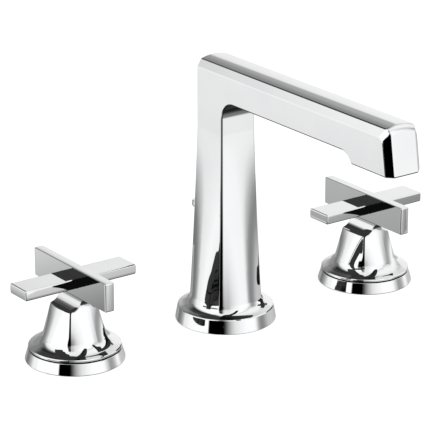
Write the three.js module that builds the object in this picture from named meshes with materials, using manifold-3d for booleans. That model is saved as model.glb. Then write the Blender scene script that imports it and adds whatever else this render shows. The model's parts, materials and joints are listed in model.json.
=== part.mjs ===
import * as THREE from "three";
import { mergeVertices } from "three/addons/utils/BufferGeometryUtils.js";
import Module from "manifold-3d";

// A three-hole basin faucet in polished chrome: a square arm on a post that rounds off
// towards its foot, a cross handle on either side, and the pop-up waste's lift rod behind.
// Lengths are in millimetres. The origin is the centre of the spout's foot on the deck,
// +X runs towards the cold handle, the arm reaches out along -Y and +Z is up.

const wasm = await Module();
wasm.setup();

// Driving dimensions

const fit = {
  gap: 0.3, // clearance between two separate pieces
  overrun: 3, // how far a cut runs past the face that it opens
};

const deck = {
  handleOffset: 101.6, // centre of the spout to the centre of each handle, four inches
  gasketThickness: 1.4,
  gasketRecessWall: 2.2, // rim of metal left outside a gasket
};

const spout = {
  halfWidth: 11.45, // post and arm, across X
  halfDepth: 11.85, // post, along Y
  undersideHeight: 131.8, // flat underside of the arm
  sideRise: 14.9, // height of the arm's flat sides
  chamferInset: 2.65,
  chamferRise: 4.27,
  crownRise: 1.45, // how far the top bows up between its chamfers
  reach: 154.5, // post axis to the front foot of the nose
  noseLength: 31.7,
  noseDrop: 5.5, // how far the nose hangs below the arm's underside
  stepRun: 7.7, // length of the curved step up from the nose to the arm
  noseChamfer: 3.6,
  noseEdgeRadius: 4, // rounding between the crown and the front face
  innerRadius: 10, // fillet between the post and the arm
  squareDrop: 18.8, // the post is a plain square down to this far below the arm
};
const noseLean = THREE.MathUtils.degToRad(9.1);

const foot = {
  ridgeRadius: 20.4, // reach of the post's corners where it meets its foot
  ridgeRoundness: 0.88, // the post is nearly round there
  swellPower: 1.2, // how late the post's swell and its rounding set in on the way down
  roundingPower: 1.5,
  flangeWidth: 6.8,
  rimTaper: 1.36,
  rimHeight: 7.7,
  rimBevel: 0.45,
  slopeRun: 1.8, // gentle slope inside the rim, up to the start of the fillet
  slopeRise: 1.2,
  filletRise: 6.3,
  ridgeRise: 1.8, // the corners start this far above the fillet
};
const footCornerAngle = THREE.MathUtils.degToRad(46.8);

const waterway = {
  postWall: 3.05, // metal left at the thinnest place of the post
  armWall: 3,
  tubeRadius: 4.76,
  tubeWall: 0.8,
  bendClearance: 0.74, // inner radius of the tube's bends
  shankHeight: 22,
};

const aerator = {
  inset: 16, // front foot of the nose to the outlet's axis
  noseWall: 2.55,
  recess: 0.5, // how far the housing sits up inside the nose
  housingHeight: 6,
  housingWall: 1.3,
  insertInset: 1.2,
  insertHeight: 4,
  holeRadius: 0.75,
  holeRingShares: [0.34, 0.7], // of the insert's radius
  holeRingCounts: [6, 12],
  sealThickness: 1.5,
};

const liftRod = {
  inset: 3.2, // top edge of the foot's rim to the rod's axis
  radius: 1.5,
  bottomHeight: 0.4,
  knobRadius: 4.8,
  knobHeight: 3.8,
  knobTop: 63.5,
  knobBevel: 0.5,
  seatDepth: 2.2, // how deep the rod sits in its knob
};

const handleBase = {
  rimTopRadius: 25.64,
  rimTaper: 1.89,
  rimHeight: 6.5,
  topWall: 5.64, // metal between the top edge and the bore
  gasketWidth: 5,
  ledgeWidth: 2.4, // ledge that holds the valve's flange down
  ledgeThickness: 0.9,
  ledgeDrop: 1, // top of the ring to the top of the ledge
};

const bell = {
  skirtInset: 0.14, // the turning skirt is a little narrower than the ring below it
  skirtEdge: 1.3,
  skirtBevel: 0.4,
  slopeRun: 3.1,
  slopeRise: 1.2,
  filletRise: 5.5,
  flankFootRadius: 17.5,
  flankRise: 15.8,
  shoulderRadius: 13.6, // corner reach at the shoulder
  shoulderRoundness: 0.3, // the flanks' slight swell at the shoulder
  roundingPower: 1.1,
  ribRise: 6.8, // shoulder to the foot of the blade
  neckRadius: 13,
  flareRadius: 3.8, // fillet between the rib's ends and the blade
  scoopRadius: 5.8,
  nutClearance: 0.75,
  headroom: 3, // free space above the cartridge's neck
};
const bellCornerAngle = THREE.MathUtils.degToRad(48.6);

const bars = {
  length: 70.6,
  width: 16.2,
  thickness: 5.7,
  crown: 0.45, // how far the narrow faces bow out
};

const valve = {
  shankRadius: 9.5, // below the flange
  bodyRadius: 12,
  bodyTop: 13.3,
  chamberRadius: 8.3,
  chamberFloor: 3.7,
  inletRadius: 4,
  sealHeight: 1.3,
  sealBore: 4.6,
  discThickness: 1,
  portRadius: 1.6,
  portOffset: 4,
  cartridgeWall: 0.7,
  cartridgeStand: 0.7, // its shoulder above the body's top
  neckRadius: 5.9,
  neckRise: 6.4,
  nutHeight: 4.4,
  nutAcrossFlats: 20.5,
};

const stem = {
  radius: 4,
  tongueHalf: 1.7, // half the side of the square tongue that drives the disc
  collarRadius: 5.6,
  collarHeight: 0.6,
  grooveDepth: 1.3,
  grooveDrop: 3.4, // top of the cartridge's neck to the middle of the groove
  cover: 1.6, // top of the stem to the bell's shoulder
};

const setScrew = {
  drop: 2, // top of the stem to the screw's axis
  radius: 2,
  length: 5.2,
  socketHalf: 1, // centre of the hexagon socket to its corners
  socketDepth: 2.4,
};

const glide = {
  height: 1.6,
};

// Facet counts

const facets = {
  rim: 44,
  bore: 20,
  small: 12,
  tiny: 8,
  hexagon: 6,
  side: 8, // steps along each side of a squared ring
  arc: 6,
  loft: 10,
  bend: 5,
};

// Materials

const polishedChrome = new THREE.MeshStandardMaterial({
  color: 0xdcdee1,
  roughness: 0.04,
  metalness: 1,
});
const brass = new THREE.MeshStandardMaterial({
  color: 0xb8974f,
  roughness: 0.35,
  metalness: 1,
});
const copper = new THREE.MeshStandardMaterial({
  color: 0xb87352,
  roughness: 0.3,
  metalness: 1,
});
const rubber = new THREE.MeshStandardMaterial({
  color: 0x1c1c1d,
  roughness: 0.8,
  metalness: 0,
});
const nylon = new THREE.MeshStandardMaterial({
  color: 0xd9d8d2,
  roughness: 0.5,
  metalness: 0,
});
const ceramic = new THREE.MeshStandardMaterial({
  color: 0xefece4,
  roughness: 0.2,
  metalness: 0,
});
const steel = new THREE.MeshStandardMaterial({
  color: 0x9a9da1,
  roughness: 0.35,
  metalness: 1,
});

// Solids and meshes

function solidOf(geometry) {
  const bare = geometry.index ? geometry.toNonIndexed() : geometry.clone();
  bare.deleteAttribute("normal");
  bare.deleteAttribute("uv");
  const merged = mergeVertices(bare);
  return new wasm.Manifold(
    new wasm.Mesh({
      numProp: 3,
      vertProperties: new Float32Array(merged.attributes.position.array),
      triVerts: new Uint32Array(merged.index.array),
    }),
  );
}

function geometryOf(solid) {
  const mesh = solid.getMesh();
  const positions = [];
  for (const vertex of mesh.triVerts) {
    const first = vertex * mesh.numProp;
    positions.push(...mesh.vertProperties.subarray(first, first + 3));
  }
  const geometry = new THREE.BufferGeometry();
  geometry.setAttribute("position", new THREE.Float32BufferAttribute(positions, 3));
  geometry.computeVertexNormals();
  return geometry;
}

function piece(name, solid, material) {
  const mesh = new THREE.Mesh(geometryOf(solid), material);
  mesh.name = name;
  return mesh;
}

const xAxis = new THREE.Vector3(1, 0, 0);
const yAxis = new THREE.Vector3(0, 1, 0);
const zAxis = new THREE.Vector3(0, 0, 1);

function prism(shape, from, to) {
  const geometry = new THREE.ExtrudeGeometry(shape, {
    depth: to - from,
    steps: 1,
    curveSegments: facets.arc,
    bevelEnabled: false,
  });
  return geometry.translate(0, 0, from);
}

// Outline in Y and Z, drawn out along X.
function prismAlongX(shape, from, to) {
  const turn = new THREE.Matrix4().makeBasis(yAxis, zAxis, xAxis);
  return prism(shape, from, to).applyMatrix4(turn);
}

// Outline in X and Z, drawn out along Y.
function prismAlongY(shape, from, to) {
  const turn = new THREE.Matrix4().makeBasis(xAxis, zAxis, yAxis.clone().negate());
  return prism(shape, -to, -from).applyMatrix4(turn);
}

// Profile of [radius, height] pairs, spun about Z.
function turned(profile, sides) {
  const points = profile.map(([radius, height]) => new THREE.Vector2(radius, height));
  points.push(points[0].clone());
  return new THREE.LatheGeometry(points, sides).rotateX(Math.PI / 2);
}

function cylinder(radius, from, to, sides, x = 0, y = 0) {
  const geometry = new THREE.CylinderGeometry(radius, radius, to - from, sides);
  geometry.rotateX(Math.PI / 2);
  return solidOf(geometry.translate(x, y, (from + to) / 2));
}

function ring(outer, inner, from, to, sides) {
  const profile = [
    [inner, from],
    [outer, from],
    [outer, to],
    [inner, to],
  ];
  return solidOf(turned(profile, sides));
}

function box(halfX, halfY, from, to) {
  const geometry = new THREE.BoxGeometry(halfX * 2, halfY * 2, to - from);
  return solidOf(geometry.translate(0, 0, (from + to) / 2));
}

// Quarter turn of [radius, height] points that leaves a slope and ends at a wall.
function hollowCurve(startRadius, startHeight, endRadius, endHeight, steps) {
  const points = [];
  for (let step = 0; step <= steps; step += 1) {
    const angle = (step / steps) * (Math.PI / 2);
    points.push([
      endRadius + (startRadius - endRadius) * (1 - Math.sin(angle)),
      startHeight + (endHeight - startHeight) * (1 - Math.cos(angle)),
    ]);
  }
  return points;
}

// Ring of points with four corners, each at the same angle from the X axis. A side is an
// arc: flat at roundness 0, and part of the circle through the corners at roundness 1.
function squaredRing({ reach, height, roundness, cornerAngle }) {
  const cornerX = reach * Math.cos(cornerAngle);
  const cornerY = reach * Math.sin(cornerAngle);
  const points = [];
  for (let side = 0; side < 4; side += 1) {
    const turn = (side * Math.PI) / 2;
    const distance = side % 2 === 0 ? cornerX : cornerY;
    const half = side % 2 === 0 ? cornerY : cornerX;
    const swell = roundness * (reach - distance);
    const arcRadius = swell > 0 ? (half ** 2 + swell ** 2) / (2 * swell) : Infinity;
    for (let step = 0; step < facets.side; step += 1) {
      const along = half * ((step / facets.side) * 2 - 1);
      const sink = along ** 2 / (arcRadius + Math.sqrt(arcRadius ** 2 - along ** 2));
      const out = distance + swell - sink;
      const x = out * Math.cos(turn) - along * Math.sin(turn);
      const y = out * Math.sin(turn) + along * Math.cos(turn);
      points.push(new THREE.Vector3(x, y, height));
    }
  }
  return points;
}

// Closed skin over a stack of rings, from the lowest to the highest.
function loft(stations) {
  const rings = stations.map(squaredRing);
  const around = rings[0].length;
  const positions = [];
  const addTriangle = (a, b, c) => positions.push(...a.toArray(), ...b.toArray(), ...c.toArray());
  for (let level = 0; level + 1 < rings.length; level += 1) {
    for (let index = 0; index < around; index += 1) {
      const next = (index + 1) % around;
      addTriangle(rings[level][index], rings[level][next], rings[level + 1][next]);
      addTriangle(rings[level][index], rings[level + 1][next], rings[level + 1][index]);
    }
  }
  const bottom = rings[0];
  const top = rings[rings.length - 1];
  const bottomCentre = new THREE.Vector3(0, 0, bottom[0].z);
  const topCentre = new THREE.Vector3(0, 0, top[0].z);
  for (let index = 0; index < around; index += 1) {
    const next = (index + 1) % around;
    addTriangle(bottomCentre, bottom[next], bottom[index]);
    addTriangle(topCentre, top[index], top[next]);
  }
  const geometry = new THREE.BufferGeometry();
  geometry.setAttribute("position", new THREE.Float32BufferAttribute(positions, 3));
  return geometry;
}

// Spout

const noseUnderside = spout.undersideHeight - spout.noseDrop;
const swellHeight = spout.undersideHeight - spout.squareDrop;
const sideTop = spout.undersideHeight + spout.sideRise;
const chamferTop = sideTop + spout.chamferRise;
const armTop = chamferTop + spout.crownRise;
const armHalfHeight = (armTop - spout.undersideHeight) / 2;
const rimTopRadius = foot.ridgeRadius + foot.flangeWidth;
const rimRadius = rimTopRadius + foot.rimTaper;
const filletStartHeight = foot.rimHeight + foot.slopeRise;
const filletTop = filletStartHeight + foot.filletRise;
const passageHeight = spout.undersideHeight + armHalfHeight;
const armBore = armHalfHeight - waterway.armWall;
const postBore = spout.halfWidth - waterway.postWall;
const outletBore = spout.halfWidth - aerator.noseWall;
const outletSetback = spout.reach - aerator.inset;
const rodSetback = rimTopRadius - liftRod.inset;

function armSideOutline() {
  const front = -spout.reach;
  const leanAt = (height) => front + (height - noseUnderside) * Math.tan(noseLean);
  const stepStart = front + spout.noseLength;
  const stepEnd = stepStart + spout.stepRun;
  const stepRadius = (spout.stepRun ** 2 + spout.noseDrop ** 2) / (2 * spout.noseDrop);
  const stepAngle = Math.asin(spout.stepRun / stepRadius);
  const edge = spout.noseEdgeRadius;
  const edgeTurn = Math.PI / 2 - noseLean;
  const edgeInset = edge * Math.tan(edgeTurn / 2);
  const outline = new THREE.Shape();
  outline.moveTo(spout.halfDepth, swellHeight);
  outline.lineTo(spout.halfDepth, armTop);
  outline.lineTo(leanAt(armTop) + edgeInset, armTop);
  outline.absarc(
    leanAt(armTop) + edgeInset,
    armTop - edge,
    edge,
    Math.PI / 2,
    Math.PI / 2 + edgeTurn,
    false,
  );
  outline.lineTo(front, noseUnderside);
  outline.lineTo(stepStart, noseUnderside);
  outline.absarc(
    stepEnd,
    spout.undersideHeight - stepRadius,
    stepRadius,
    Math.PI / 2 + stepAngle,
    Math.PI / 2,
    true,
  );
  outline.lineTo(-spout.halfDepth - spout.innerRadius, spout.undersideHeight);
  outline.absarc(
    -spout.halfDepth - spout.innerRadius,
    spout.undersideHeight - spout.innerRadius,
    spout.innerRadius,
    Math.PI / 2,
    0,
    true,
  );
  outline.lineTo(-spout.halfDepth, swellHeight);
  return outline;
}

function armSection() {
  const half = spout.halfWidth;
  const topHalf = half - spout.chamferInset;
  const crownRadius = (topHalf ** 2 + spout.crownRise ** 2) / (2 * spout.crownRise);
  const crownAngle = Math.asin(topHalf / crownRadius);
  const outline = new THREE.Shape();
  outline.moveTo(-half, swellHeight);
  outline.lineTo(half, swellHeight);
  outline.lineTo(half, sideTop);
  outline.lineTo(topHalf, chamferTop);
  outline.absarc(
    0,
    armTop - crownRadius,
    crownRadius,
    Math.PI / 2 - crownAngle,
    Math.PI / 2 + crownAngle,
    false,
  );
  outline.lineTo(-half, sideTop);
  return outline;
}

function nosePlan() {
  const half = spout.halfWidth + fit.overrun;
  const frontHalf = spout.halfWidth - spout.noseChamfer;
  const chamferBack = -spout.reach + spout.noseChamfer + fit.overrun;
  const back = spout.halfDepth + spout.reach;
  const outline = new THREE.Shape();
  outline.moveTo(-frontHalf, -spout.reach);
  outline.lineTo(frontHalf, -spout.reach);
  outline.lineTo(half, chamferBack);
  outline.lineTo(half, back);
  outline.lineTo(-half, back);
  outline.lineTo(-half, chamferBack);
  return outline;
}

function armSolid() {
  const side = prismAlongX(armSideOutline(), -spout.halfWidth, spout.halfWidth);
  const section = prismAlongY(armSection(), -spout.reach - fit.overrun, spout.halfDepth);
  const plan = prism(nosePlan(), swellHeight - fit.overrun, armTop + fit.overrun);
  const lean = new THREE.Matrix4().makeShear(0, 0, 0, 0, 0, Math.tan(noseLean));
  plan.translate(0, 0, -noseUnderside).applyMatrix4(lean).translate(0, 0, noseUnderside);
  return solidOf(side).intersect(solidOf(section)).intersect(solidOf(plan));
}

// The post: a square at its top that swells and rounds off towards the fillet of its foot.
function postStations() {
  const span = swellHeight - filletTop - foot.ridgeRise;
  const topReach = Math.hypot(spout.halfWidth, spout.halfDepth);
  const topCornerAngle = Math.atan2(spout.halfDepth, spout.halfWidth);
  const stations = [
    {
      reach: foot.ridgeRadius,
      height: foot.rimHeight,
      roundness: 1,
      cornerAngle: footCornerAngle,
    },
  ];
  for (let step = 0; step <= facets.loft; step += 1) {
    const down = 1 - step / facets.loft;
    stations.push({
      reach: topReach + (foot.ridgeRadius - topReach) * down ** foot.swellPower,
      height: swellHeight - span * down,
      roundness: foot.ridgeRoundness * down ** foot.roundingPower,
      cornerAngle: topCornerAngle + (footCornerAngle - topCornerAngle) * down,
    });
  }
  return stations;
}

function footSolid() {
  const profile = [
    [0, 0],
    [rimRadius, 0],
    [rimTopRadius, foot.rimHeight],
    [rimTopRadius - foot.rimBevel, foot.rimHeight + foot.rimBevel],
    ...hollowCurve(
      rimTopRadius - foot.slopeRun,
      filletStartHeight,
      foot.ridgeRadius,
      filletTop,
      facets.arc,
    ),
    [0, filletTop],
  ];
  return solidOf(turned(profile, facets.rim));
}

function spoutPassage() {
  const post = cylinder(postBore, -fit.overrun, passageHeight + armBore, facets.bore);
  const length = outletSetback + armBore;
  const arm = new THREE.CylinderGeometry(armBore, armBore, length, facets.bore);
  arm.translate(0, -length / 2, passageHeight);
  const outlet = cylinder(
    outletBore,
    noseUnderside - fit.overrun,
    passageHeight,
    facets.bore,
    0,
    -outletSetback,
  );
  return post.add(solidOf(arm)).add(outlet);
}

function spoutBody() {
  const recess = cylinder(
    rimRadius - deck.gasketRecessWall,
    -fit.overrun,
    deck.gasketThickness + fit.gap,
    facets.rim,
  );
  const rodHole = cylinder(
    liftRod.radius + fit.gap,
    -fit.overrun,
    filletTop + fit.overrun,
    facets.small,
    0,
    rodSetback,
  );
  return armSolid()
    .add(solidOf(loft(postStations())))
    .add(footSolid())
    .subtract(spoutPassage())
    .subtract(recess)
    .subtract(rodHole);
}

function spoutGasket() {
  const outer = rimRadius - deck.gasketRecessWall - fit.gap;
  const inner = postBore + fit.gap;
  const rodHole = cylinder(
    liftRod.radius + fit.gap,
    -fit.overrun,
    deck.gasketThickness + fit.overrun,
    facets.small,
    0,
    rodSetback,
  );
  return ring(outer, inner, 0, deck.gasketThickness, facets.rim).subtract(rodHole);
}

function inletShank() {
  const outer = postBore - fit.gap;
  const bore = waterway.tubeRadius + fit.gap;
  return ring(outer, bore, fit.gap, waterway.shankHeight, facets.bore);
}

const housingBottom = noseUnderside + aerator.recess;
const housingTop = housingBottom + aerator.housingHeight;
const housingRadius = outletBore - fit.gap;
const housingBore = housingRadius - aerator.housingWall;
const outletSealTop = housingTop + fit.gap + aerator.sealThickness;

// Route of the waterway tube: up the post, along the arm and down to the outlet's seal.
// Its stations lie at the ends of the straight runs and round the two bends.
class TubeRoute extends THREE.Curve {
  constructor() {
    super();
    this.places = [];
    this.tangents = [];
    const bend = waterway.tubeRadius + waterway.bendClearance;
    this.addStation(0, fit.gap, 0);
    for (let step = 0; step <= facets.bend; step += 1) {
      const turn = (step / facets.bend) * (Math.PI / 2);
      const inward = bend * (1 - Math.cos(turn));
      this.addStation(-inward, passageHeight - bend * (1 - Math.sin(turn)), turn);
    }
    for (let step = 0; step <= facets.bend; step += 1) {
      const turn = (step / facets.bend) * (Math.PI / 2);
      const inward = bend * (1 - Math.sin(turn));
      const height = passageHeight - bend * (1 - Math.cos(turn));
      this.addStation(inward - outletSetback, height, Math.PI / 2 + turn);
    }
    this.addStation(-outletSetback, outletSealTop + fit.gap, Math.PI);
  }

  // Turn is the heading: 0 upwards, a quarter turn towards the nose, half a turn downwards.
  addStation(y, z, turn) {
    this.places.push(new THREE.Vector3(0, y, z));
    this.tangents.push(new THREE.Vector3(0, -Math.sin(turn), Math.cos(turn)));
  }

  stationAt(share) {
    return Math.round(share * (this.places.length - 1));
  }

  getPointAt(share) {
    return this.places[this.stationAt(share)].clone();
  }

  getTangentAt(share) {
    return this.tangents[this.stationAt(share)].clone();
  }
}

function waterwayTube() {
  const route = new TubeRoute();
  const section = new THREE.Shape();
  section.absarc(0, 0, waterway.tubeRadius, 0, Math.PI * 2, false);
  const bore = new THREE.Path();
  bore.absarc(0, 0, waterway.tubeRadius - waterway.tubeWall, 0, Math.PI * 2, true);
  section.holes.push(bore);
  return solidOf(
    new THREE.ExtrudeGeometry(section, {
      steps: route.places.length - 1,
      curveSegments: facets.tiny,
      extrudePath: route,
      bevelEnabled: false,
    }),
  );
}

function atOutlet(solid) {
  return solid.translate([0, -outletSetback, 0]);
}

function aeratorHousing() {
  return atOutlet(ring(housingRadius, housingBore, housingBottom, housingTop, facets.bore));
}

function aeratorInsert() {
  const bottom = housingBottom + aerator.insertInset;
  const top = bottom + aerator.insertHeight;
  const through = [bottom - fit.overrun, top + fit.overrun];
  const radius = housingBore - fit.gap;
  let insert = cylinder(radius, bottom, top, facets.bore);
  insert = insert.subtract(cylinder(aerator.holeRadius, ...through, facets.hexagon));
  aerator.holeRingShares.forEach((share, row) => {
    const count = aerator.holeRingCounts[row];
    for (let index = 0; index < count; index += 1) {
      const angle = (index / count) * Math.PI * 2;
      const x = radius * share * Math.cos(angle);
      const y = radius * share * Math.sin(angle);
      insert = insert.subtract(cylinder(aerator.holeRadius, ...through, facets.hexagon, x, y));
    }
  });
  return atOutlet(insert);
}

function aeratorSeal() {
  const bottom = housingTop + fit.gap;
  const bore = waterway.tubeRadius - waterway.tubeWall;
  return atOutlet(ring(housingRadius, bore, bottom, outletSealTop, facets.bore));
}

// Lift rod

const knobBottom = liftRod.knobTop - liftRod.knobHeight;

function atRod(solid) {
  return solid.translate([0, rodSetback, 0]);
}

function liftRodShaft() {
  const top = knobBottom + liftRod.seatDepth;
  return atRod(cylinder(liftRod.radius, liftRod.bottomHeight, top, facets.small));
}

function liftRodKnob() {
  const radius = liftRod.knobRadius;
  const bevel = liftRod.knobBevel;
  const seatRadius = liftRod.radius + fit.gap;
  const seatTop = knobBottom + liftRod.seatDepth + fit.gap;
  const profile = [
    [0, seatTop],
    [seatRadius, seatTop],
    [seatRadius, knobBottom],
    [radius - bevel, knobBottom],
    [radius, knobBottom + bevel],
    [radius, liftRod.knobTop - bevel],
    [radius - bevel, liftRod.knobTop],
    [0, liftRod.knobTop],
  ];
  return atRod(solidOf(turned(profile, facets.bore)));
}

// Handle base and valve, each about its own axis

const baseRadius = handleBase.rimTopRadius + handleBase.rimTaper;
const baseBore = handleBase.rimTopRadius - handleBase.topWall;
const ledgeRadius = baseBore - handleBase.ledgeWidth;
const ledgeTop = handleBase.rimHeight - handleBase.ledgeDrop;
const ledgeBottom = ledgeTop - handleBase.ledgeThickness;
const flangeBottom = deck.gasketThickness + fit.gap;
const flangeTop = ledgeBottom - fit.gap;
const flangeRadius = baseBore - fit.gap;
const sealTop = valve.chamberFloor + fit.gap + valve.sealHeight;
const fixedDiscBottom = sealTop + fit.gap;
const turningDiscBottom = fixedDiscBottom + valve.discThickness + fit.gap;
const turningDiscTop = turningDiscBottom + valve.discThickness;
const collarBottom = turningDiscTop + fit.gap;
const collarTop = collarBottom + stem.collarHeight;
const cartridgeRadius = valve.chamberRadius - fit.gap;
const cartridgeCavity = cartridgeRadius - valve.cartridgeWall;
const cartridgeShoulder = valve.bodyTop + valve.cartridgeStand;
const neckTop = cartridgeShoulder + valve.neckRise;
const discRadius = cartridgeCavity - fit.gap;
const stemBore = stem.radius + fit.gap;
const nutBottom = valve.bodyTop + fit.gap;
const nutTop = nutBottom + valve.nutHeight;
const nutCornerRadius = valve.nutAcrossFlats / Math.sqrt(3);

// Heights and radii of the turning handle

const glideBottom = ledgeTop + fit.gap;
const glideTop = glideBottom + glide.height;
const skirtBottom = handleBase.rimHeight + fit.gap;
const skirtTop = skirtBottom + bell.skirtEdge;
const skirtRadius = handleBase.rimTopRadius - bell.skirtInset;
const bellFilletStart = skirtTop + bell.skirtBevel + bell.slopeRise;
const flankFoot = bellFilletStart + bell.filletRise;
const shoulderHeight = flankFoot + bell.flankRise;
const bladeBottom = shoulderHeight + bell.ribRise;
const bladeTop = bladeBottom + bars.width;
const barCentre = bladeBottom + bars.width / 2;
const stemTop = shoulderHeight - stem.cover;
const screwHeight = stemTop - setScrew.drop;

function baseRing() {
  const profile = [
    [baseBore, 0],
    [baseRadius, 0],
    [handleBase.rimTopRadius, handleBase.rimHeight],
    [baseBore, handleBase.rimHeight],
    [baseBore, ledgeTop],
    [ledgeRadius, ledgeTop],
    [ledgeRadius, ledgeBottom],
    [baseBore, ledgeBottom],
  ];
  return solidOf(turned(profile, facets.rim));
}

function baseGasket() {
  const bore = flangeRadius - handleBase.gasketWidth;
  return ring(flangeRadius, bore, 0, deck.gasketThickness, facets.rim);
}

function valveBody() {
  const profile = [
    [valve.inletRadius, fit.gap],
    [valve.shankRadius, fit.gap],
    [valve.shankRadius, flangeBottom],
    [flangeRadius, flangeBottom],
    [flangeRadius, flangeTop],
    [valve.bodyRadius, flangeTop],
    [valve.bodyRadius, valve.bodyTop],
    [valve.chamberRadius, valve.bodyTop],
    [valve.chamberRadius, valve.chamberFloor],
    [valve.inletRadius, valve.chamberFloor],
  ];
  return solidOf(turned(profile, facets.bore));
}

function seatSeal() {
  const bottom = valve.chamberFloor + fit.gap;
  return ring(cartridgeRadius, valve.sealBore, bottom, sealTop, facets.bore);
}

function discWithPorts(bottom) {
  const top = bottom + valve.discThickness;
  let disc = cylinder(discRadius, bottom, top, facets.bore);
  for (const side of [-1, 1]) {
    const port = cylinder(
      valve.portRadius,
      bottom - fit.overrun,
      top + fit.overrun,
      facets.tiny,
      side * valve.portOffset,
      0,
    );
    disc = disc.subtract(port);
  }
  return disc;
}

function turningDisc() {
  const half = stem.tongueHalf + fit.gap;
  const slot = box(half, half, turningDiscBottom - fit.overrun, turningDiscTop + fit.overrun);
  return discWithPorts(turningDiscBottom).subtract(slot);
}

function cartridge() {
  const profile = [
    [cartridgeCavity, fixedDiscBottom],
    [cartridgeRadius, fixedDiscBottom],
    [cartridgeRadius, cartridgeShoulder],
    [valve.neckRadius, cartridgeShoulder],
    [valve.neckRadius, neckTop],
    [stemBore, neckTop],
    [stemBore, collarTop + fit.gap],
    [cartridgeCavity, collarTop + fit.gap],
  ];
  return solidOf(turned(profile, facets.bore));
}

// The O-ring fills its groove but for the gap on every side.
const stemSealSection = (stem.grooveDepth - fit.gap) / 2;
const grooveRadius = stem.radius - stem.grooveDepth;
const grooveCentre = neckTop - stem.grooveDrop;

function stemSolid() {
  const grooveHalf = stemSealSection + fit.gap;
  const profile = [
    [0, collarBottom],
    [stem.collarRadius, collarBottom],
    [stem.collarRadius, collarTop],
    [stem.radius, collarTop],
    [stem.radius, grooveCentre - grooveHalf],
    [grooveRadius, grooveCentre - grooveHalf],
    [grooveRadius, grooveCentre + grooveHalf],
    [stem.radius, grooveCentre + grooveHalf],
    [stem.radius, stemTop],
    [0, stemTop],
  ];
  const tongueBottom = turningDiscBottom + fit.gap;
  const tongueTop = collarBottom + stem.collarHeight / 2;
  const tongue = box(stem.tongueHalf, stem.tongueHalf, tongueBottom, tongueTop);
  return solidOf(turned(profile, facets.small)).add(tongue);
}

function stemSeal() {
  const centreRadius = grooveRadius + fit.gap + stemSealSection;
  const geometry = new THREE.TorusGeometry(
    centreRadius,
    stemSealSection,
    facets.tiny,
    facets.small,
  );
  return solidOf(geometry.translate(0, 0, grooveCentre));
}

function bonnetNut() {
  const nut = cylinder(nutCornerRadius, nutBottom, nutTop, facets.hexagon);
  const neckHole = cylinder(
    valve.neckRadius + fit.gap,
    nutBottom - fit.overrun,
    nutTop + fit.overrun,
    facets.bore,
  );
  const shoulderRecess = cylinder(
    valve.chamberRadius,
    nutBottom - fit.overrun,
    cartridgeShoulder + fit.gap,
    facets.bore,
  );
  return nut.subtract(neckHole).subtract(shoulderRecess);
}

function glideRing() {
  return ring(flangeRadius, ledgeRadius, glideBottom, glideTop, facets.rim);
}

// Cross handle

function bellStations() {
  const outline = [
    [skirtRadius, skirtBottom],
    [skirtRadius, skirtTop],
    [skirtRadius - bell.skirtBevel, skirtTop + bell.skirtBevel],
    ...hollowCurve(
      skirtRadius - bell.skirtBevel - bell.slopeRun,
      bellFilletStart,
      bell.flankFootRadius,
      flankFoot,
      facets.arc,
    ),
  ];
  for (let step = 1; step <= facets.arc; step += 1) {
    const share = step / facets.arc;
    outline.push([
      bell.flankFootRadius + (bell.shoulderRadius - bell.flankFootRadius) * share,
      flankFoot + bell.flankRise * share,
    ]);
  }
  outline.push(...ribOutline());
  return outline.map(([reach, height]) => ({
    reach,
    height,
    roundness: roundnessOfBell(height),
    cornerAngle: bellCornerAngle,
  }));
}

// The bell is round at its fillet and has only a slight swell left at the shoulder.
function roundnessOfBell(height) {
  const span = shoulderHeight - bellFilletStart;
  const below = THREE.MathUtils.clamp((shoulderHeight - height) / span, 0, 1);
  const left = 1 - bell.shoulderRoundness;
  return bell.shoulderRoundness + left * below ** bell.roundingPower;
}

// Above the shoulder only a rib is left, whose ends flare out under the blade.
function ribOutline() {
  const flareStart = bladeBottom - fit.gap - bell.flareRadius;
  const points = [];
  for (let step = 0; step <= facets.bend; step += 1) {
    const angle = (step / facets.bend) * (Math.PI / 2);
    points.push([
      bell.neckRadius + bell.flareRadius * (1 - Math.cos(angle)),
      flareStart + bell.flareRadius * Math.sin(angle),
    ]);
  }
  return points;
}

// Cut along one flank of the rib: a flat ledge, then a quarter round up to the blade's side.
function scoop() {
  const wall = bars.thickness / 2;
  const centreX = wall + bell.scoopRadius;
  const centreZ = shoulderHeight + bell.scoopRadius;
  const outline = new THREE.Shape();
  outline.moveTo(skirtRadius, shoulderHeight);
  outline.lineTo(skirtRadius, bladeTop);
  outline.lineTo(wall, bladeTop);
  outline.lineTo(wall, centreZ);
  outline.absarc(centreX, centreZ, bell.scoopRadius, Math.PI, Math.PI * 1.5, false);
  return solidOf(prismAlongY(outline, -skirtRadius, skirtRadius));
}

function bellSolid() {
  const outside = solidOf(loft(bellStations()));
  const cut = scoop();
  const rebateRadius = baseBore + fit.gap;
  const rebateTop = glideTop + fit.gap;
  const cavityRadius = nutCornerRadius + bell.nutClearance;
  const capTop = neckTop + bell.headroom;
  const cavityProfile = [
    [0, skirtBottom - fit.overrun],
    [rebateRadius, skirtBottom - fit.overrun],
    [rebateRadius, rebateTop],
    [cavityRadius, rebateTop],
    [cavityRadius, nutTop + bell.headroom / 2],
    [valve.neckRadius + bell.headroom, capTop],
    [0, capTop],
  ];
  const socket = cylinder(stemBore, capTop - fit.overrun, stemTop + fit.gap, facets.small);
  const screwHole = screwCylinder(setScrew.radius + fit.gap, 0, skirtRadius, facets.small);
  return outside
    .subtract(cut)
    .subtract(cut.mirror([1, 0, 0]))
    .subtract(solidOf(turned(cavityProfile, facets.bore)))
    .subtract(socket)
    .subtract(screwHole);
}

function screwCylinder(radius, from, to, sides) {
  const geometry = new THREE.CylinderGeometry(radius, radius, to - from, sides);
  return solidOf(geometry.translate(0, (from + to) / 2, screwHeight));
}

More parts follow.
